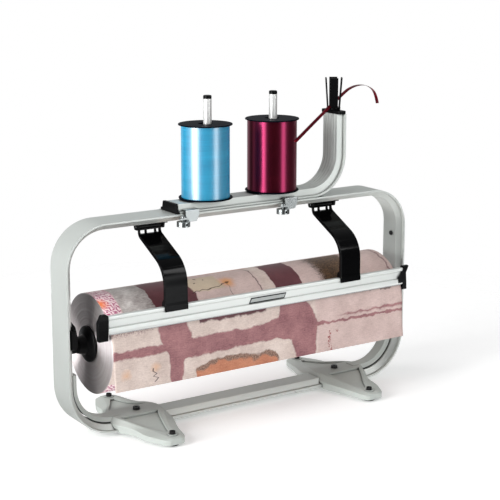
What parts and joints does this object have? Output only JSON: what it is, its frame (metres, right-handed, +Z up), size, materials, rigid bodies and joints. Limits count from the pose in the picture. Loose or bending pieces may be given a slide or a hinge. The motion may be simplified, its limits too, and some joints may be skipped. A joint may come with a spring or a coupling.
{
  "type": "gift-wrapping paper roll dispenser",
  "caption": "Table-top roll dispenser: bent frame on cast feet, hanging cutter bar, turning paper roll and clamped holder with ribbon spools and splitter.",
  "frame": {"origin": "on the table, under the middle of the frame", "axes": "+X along the roll towards the splitter post, -Y the front where the paper hangs, +Z up"},
  "size_m": [0.585, 0.216, 0.4794],
  "materials": {
    "frame_aluminium": "satin anodised",
    "cast_grey": "soft gloss paint",
    "dark_steel": "blackened",
    "rubber": "matt",
    "black_plastic": "satin",
    "steel": "ground",
    "chrome": "polished",
    "spindle_aluminium": "brushed",
    "gloss_black": "gloss",
    "bar_aluminium": "satin anodised",
    "label": "satin",
    "printed_paper": null,
    "cardboard": "grey board",
    "spool_black": "gloss",
    "blue_ribbon": "satin film",
    "red_ribbon": "satin film"
  },
  "bodies": {
    "frame": {"frame_loop": "frame_aluminium", "base_rail": "frame_aluminium", "foot_left": "cast_grey", "foot_right": "cast_grey", "foot_bolts": "dark_steel", "foot_nuts": "dark_steel", "rubber_feet": "rubber", "roll_bracket_left": "black_plastic", "roll_bracket_right": "black_plastic", "bracket_screws": "dark_steel", "upright_screws": "dark_steel", "hinge_bracket_left": "black_plastic", "hinge_bracket_right": "black_plastic", "hinge_pins": "steel", "holder_profile": "frame_aluminium", "holder_end_cap": "black_plastic", "post_cap": "black_plastic", "ribbon_splitter": "black_plastic", "splitter_blades": "steel", "clamp_left": "chrome", "clamp_right": "chrome", "clamp_bolts": "chrome", "clamp_nuts": "chrome", "spindle_left": "spindle_aluminium", "spindle_right": "spindle_aluminium", "spindle_caps": "black_plastic", "ribbon_strand": "red_ribbon"},
    "cutter": {"cutter_arm_left": "gloss_black", "cutter_arm_right": "gloss_black", "cutter_bar": "bar_aluminium", "cutter_blade": "steel", "bar_end_left": "black_plastic", "bar_end_right": "black_plastic", "label_plate": "label", "arm_screws": "dark_steel"},
    "roll_carrier": {"axle_rod": "dark_steel", "paper_web": "printed_paper"},
    "roll": {"roll_hub_left": "black_plastic", "roll_hub_right": "black_plastic", "paper_core": "cardboard", "paper_roll": "printed_paper"},
    "spool_blue": {"blue_spool": "spool_black", "blue_ribbon": "blue_ribbon"},
    "spool_red": {"red_spool": "spool_black", "red_ribbon": "red_ribbon"}
  },
  "joints": [
    {"name": "cutter_swing", "type": "hinge", "parent": "frame", "child": "cutter", "pos_m": [0, 0.002, 0.2885], "axis": [-1, 0, 0], "range_deg": [0, 60]},
    {"name": "roll_lift_out", "type": "slide", "parent": "frame", "child": "roll_carrier", "axis": [0, 0.7071, 0.7071], "range_m": [0, 0.14]},
    {"name": "roll_spin", "type": "hinge", "parent": "roll_carrier", "child": "roll", "pos_m": [0, -0.002, 0.134], "axis": [1, 0, 0], "continuous": true},
    {"name": "blue_spool_spin", "type": "hinge", "parent": "frame", "child": "spool_blue", "pos_m": [-0.0584, 0, 0.32], "axis": [0, 0, 1], "continuous": true},
    {"name": "red_spool_spin", "type": "hinge", "parent": "frame", "child": "spool_red", "pos_m": [0.0562, 0, 0.32], "axis": [0, 0, 1], "continuous": true}
  ]
}
